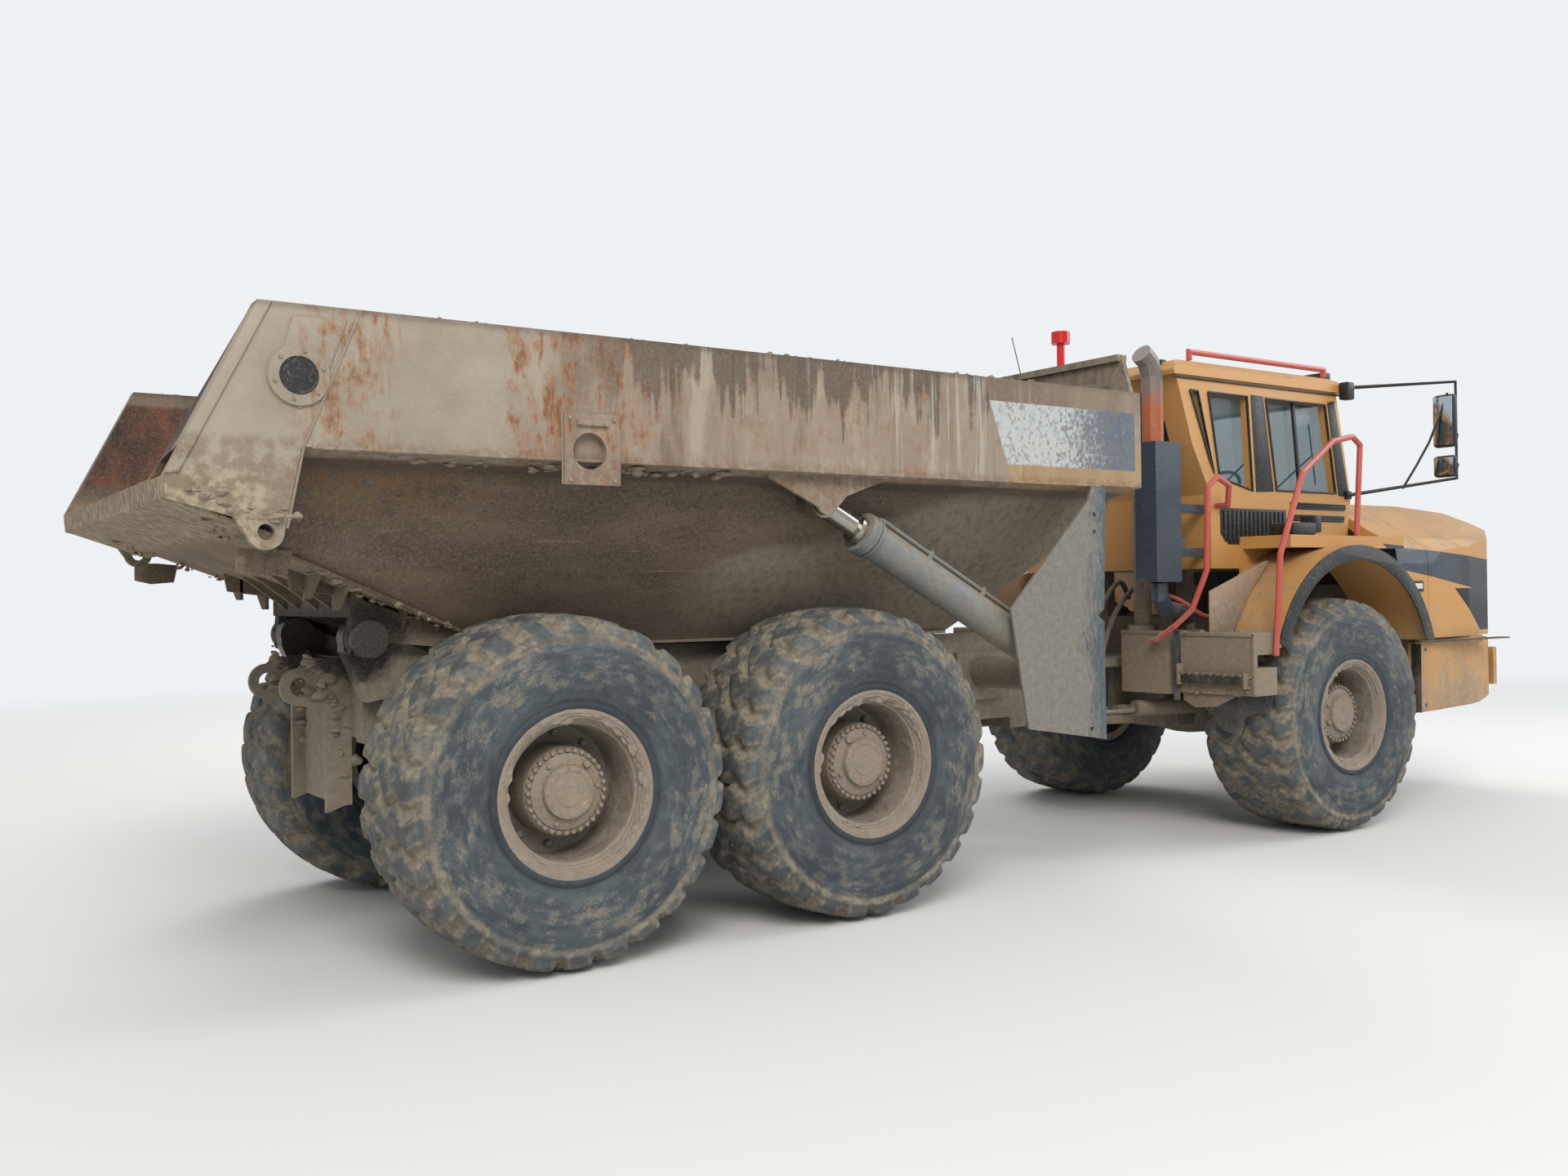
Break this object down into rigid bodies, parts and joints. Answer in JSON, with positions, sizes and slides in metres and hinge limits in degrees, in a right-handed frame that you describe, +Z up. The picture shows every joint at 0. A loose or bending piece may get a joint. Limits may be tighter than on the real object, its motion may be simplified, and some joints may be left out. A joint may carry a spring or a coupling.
{
  "type": "articulated six-wheel dump truck",
  "caption": "Articulated off-road dump truck with a hinged tractor unit, tipping bed, tilting bonnet and bogie axles, dusty and rusted from use.",
  "frame": {"origin": "on the ground under the middle of the truck's length and width", "axes": "+X forward, +Y to the truck's left, +Z up"},
  "size_m": [10.297, 3, 3.6579],
  "materials": {
    "ochre_paint": "ochre yellow paint, dusty",
    "worn_bed_paint": "worn yellow paint under tan dust and brown rust",
    "dusty_frame": "grey paint under tan dust",
    "grimy_iron": "greasy dark iron",
    "rod_chrome": "hard chrome",
    "mud_plate_steel": "dark plate with dried mud",
    "blue_grey_steel": "dark blue-grey paint",
    "dark_plastic": "black moulded",
    "seat_fabric": "dark woven",
    "red_rail_paint": "faded red paint",
    "red_lens": "translucent red",
    "lamp_glass": "smoked clear lens",
    "window_glass": "tinted",
    "dusty_tyre": "dusty rubber",
    "rim_paint": "grey paint under tan mud"
  },
  "bodies": {
    "tractor": {"front_frame": "dusty_frame", "powertrain": "grimy_iron", "front_axle": "dusty_frame", "front_bumper": "ochre_paint", "front_fenders": "ochre_paint", "cowl": "ochre_paint", "cab_shell": "ochre_paint", "cab_roof": "ochre_paint", "cab_glass": "window_glass", "cab_seat": "seat_fabric", "cab_console": "dark_plastic", "mirrors": "dark_plastic", "handrails": "red_rail_paint", "exhaust": "blue_grey_steel", "side_tanks": "ochre_paint", "step_boxes": "ochre_paint", "filler_pipes": "grimy_iron", "beacon": "red_lens"},
    "hood": {"hood": "ochre_paint", "hood_grille": "dark_plastic", "head_lamps": "lamp_glass"},
    "door": {"cab_door": "ochre_paint", "door_glass": "window_glass"},
    "hitch": {"hitch_ring": "grimy_iron"},
    "rear": {"rear_frame": "dusty_frame", "bogie_beams": "dusty_frame", "rear_axles": "dusty_frame"},
    "bed": {"dump_body": "worn_bed_paint", "headboard": "worn_bed_paint", "mud_plates": "mud_plate_steel"},
    "steer_barrel_r": {"steer_barrel_r": "grimy_iron"},
    "steer_rod_r": {"steer_rod_r": "rod_chrome"},
    "tip_barrel_r": {"tip_barrel_r": "worn_bed_paint"},
    "tip_stage_r": {"tip_stage_r": "rod_chrome"},
    "tip_rod_r": {"tip_rod_r": "rod_chrome"},
    "steer_barrel_l": {"steer_barrel_l": "grimy_iron"},
    "steer_rod_l": {"steer_rod_l": "rod_chrome"},
    "tip_barrel_l": {"tip_barrel_l": "worn_bed_paint"},
    "tip_stage_l": {"tip_stage_l": "rod_chrome"},
    "tip_rod_l": {"tip_rod_l": "rod_chrome"},
    "wheel_fr": {"tyre_fr": "dusty_tyre", "rim_fr": "rim_paint"},
    "wheel_fl": {"tyre_fl": "dusty_tyre", "rim_fl": "rim_paint"},
    "wheel_mr": {"tyre_mr": "dusty_tyre", "rim_mr": "rim_paint"},
    "wheel_ml": {"tyre_ml": "dusty_tyre", "rim_ml": "rim_paint"},
    "wheel_rr": {"tyre_rr": "dusty_tyre", "rim_rr": "rim_paint"},
    "wheel_rl": {"tyre_rl": "dusty_tyre", "rim_rl": "rim_paint"}
  },
  "joints": [
    {"name": "steer", "type": "hinge", "parent": "tractor", "child": "hitch", "pos_m": [1.1745, 0, 0.955], "axis": [0, 0, 1], "range_deg": [-45, 45]},
    {"name": "roll", "type": "hinge", "parent": "hitch", "child": "rear", "pos_m": [0.7, 0, 0.955], "axis": [1, 0, 0], "range_deg": [-15, 15]},
    {"name": "tip", "type": "hinge", "parent": "rear", "child": "bed", "pos_m": [-4.15, 0, 1.5], "axis": [0, -1, 0], "range_deg": [0, 70]},
    {"name": "hood_tilt", "type": "hinge", "parent": "tractor", "child": "hood", "pos_m": [5.085, 0, 1.28], "axis": [0, 1, 0], "range_deg": [0, 75]},
    {"name": "door_swing", "type": "hinge", "parent": "tractor", "child": "door", "pos_m": [3.09, 0.9, 2.3], "axis": [0, 0, -1], "range_deg": [0, 85]},
    {"name": "wheel_fr", "type": "hinge", "parent": "tractor", "child": "wheel_fr", "pos_m": [2.3845, -1.108, 0.805], "axis": [0, 1, 0], "continuous": true},
    {"name": "wheel_fl", "type": "hinge", "parent": "tractor", "child": "wheel_fl", "pos_m": [2.3845, 1.108, 0.805], "axis": [0, 1, 0], "continuous": true},
    {"name": "wheel_mr", "type": "hinge", "parent": "rear", "child": "wheel_mr", "pos_m": [-1.7885, -1.108, 0.805], "axis": [0, 1, 0], "continuous": true},
    {"name": "wheel_ml", "type": "hinge", "parent": "rear", "child": "wheel_ml", "pos_m": [-1.7885, 1.108, 0.805], "axis": [0, 1, 0], "continuous": true},
    {"name": "wheel_rr", "type": "hinge", "parent": "rear", "child": "wheel_rr", "pos_m": [-3.4585, -1.108, 0.805], "axis": [0, 1, 0], "continuous": true},
    {"name": "wheel_rl", "type": "hinge", "parent": "rear", "child": "wheel_rl", "pos_m": [-3.4585, 1.108, 0.805], "axis": [0, 1, 0], "continuous": true},
    {"name": "steer_swing_r", "type": "hinge", "parent": "tractor", "child": "steer_barrel_r", "pos_m": [2.12, -0.6, 0.85], "axis": [0, 0, 1], "range_deg": [-12, 12]},
    {"name": "steer_slide_r", "type": "slide", "parent": "steer_barrel_r", "child": "steer_rod_r", "axis": [-0.9841, 0.1775, 0], "range_m": [-0.32, 0.32]},
    {"name": "tip_swing_r", "type": "hinge", "parent": "rear", "child": "tip_barrel_r", "pos_m": [-0.21502, -1.29, 1.17812], "axis": [0, -1, 0], "range_deg": [-8, 1]},
    {"name": "tip_stage_r", "type": "slide", "parent": "tip_barrel_r", "child": "tip_stage_r", "axis": [-0.8805, 0, 0.4741], "range_m": [-0.001, 1.28]},
    {"name": "tip_rod_r", "type": "slide", "parent": "tip_stage_r", "child": "tip_rod_r", "axis": [-0.8805, 0, 0.4741], "range_m": [-0.001, 1.28]},
    {"name": "steer_swing_l", "type": "hinge", "parent": "tractor", "child": "steer_barrel_l", "pos_m": [2.12, 0.6, 0.85], "axis": [0, 0, 1], "range_deg": [-12, 12]},
    {"name": "steer_slide_l", "type": "slide", "parent": "steer_barrel_l", "child": "steer_rod_l", "axis": [-0.9841, -0.1775, 0], "range_m": [-0.32, 0.32]},
    {"name": "tip_swing_l", "type": "hinge", "parent": "rear", "child": "tip_barrel_l", "pos_m": [-0.21502, 1.29, 1.17812], "axis": [0, -1, 0], "range_deg": [-8, 1]},
    {"name": "tip_stage_l", "type": "slide", "parent": "tip_barrel_l", "child": "tip_stage_l", "axis": [-0.8805, 0, 0.4741], "range_m": [-0.001, 1.28]},
    {"name": "tip_rod_l", "type": "slide", "parent": "tip_stage_l", "child": "tip_rod_l", "axis": [-0.8805, 0, 0.4741], "range_m": [-0.001, 1.28]}
  ],
  "couplings": [
    {"joint": "steer_swing_r", "follows": "steer", "ratio": 0.16},
    {"joint": "steer_slide_r", "follows": "steer", "m_per_rad": -0.395},
    {"joint": "tip_swing_r", "follows": "tip", "ratio": -0.0772},
    {"joint": "tip_stage_r", "follows": "tip", "m_per_rad": 1.0388},
    {"joint": "tip_rod_r", "follows": "tip", "m_per_rad": 1.0388},
    {"joint": "steer_swing_l", "follows": "steer", "ratio": 0.16},
    {"joint": "steer_slide_l", "follows": "steer", "m_per_rad": 0.395},
    {"joint": "tip_swing_l", "follows": "tip", "ratio": -0.0772},
    {"joint": "tip_stage_l", "follows": "tip", "m_per_rad": 1.0388},
    {"joint": "tip_rod_l", "follows": "tip", "m_per_rad": 1.0388}
  ]
}
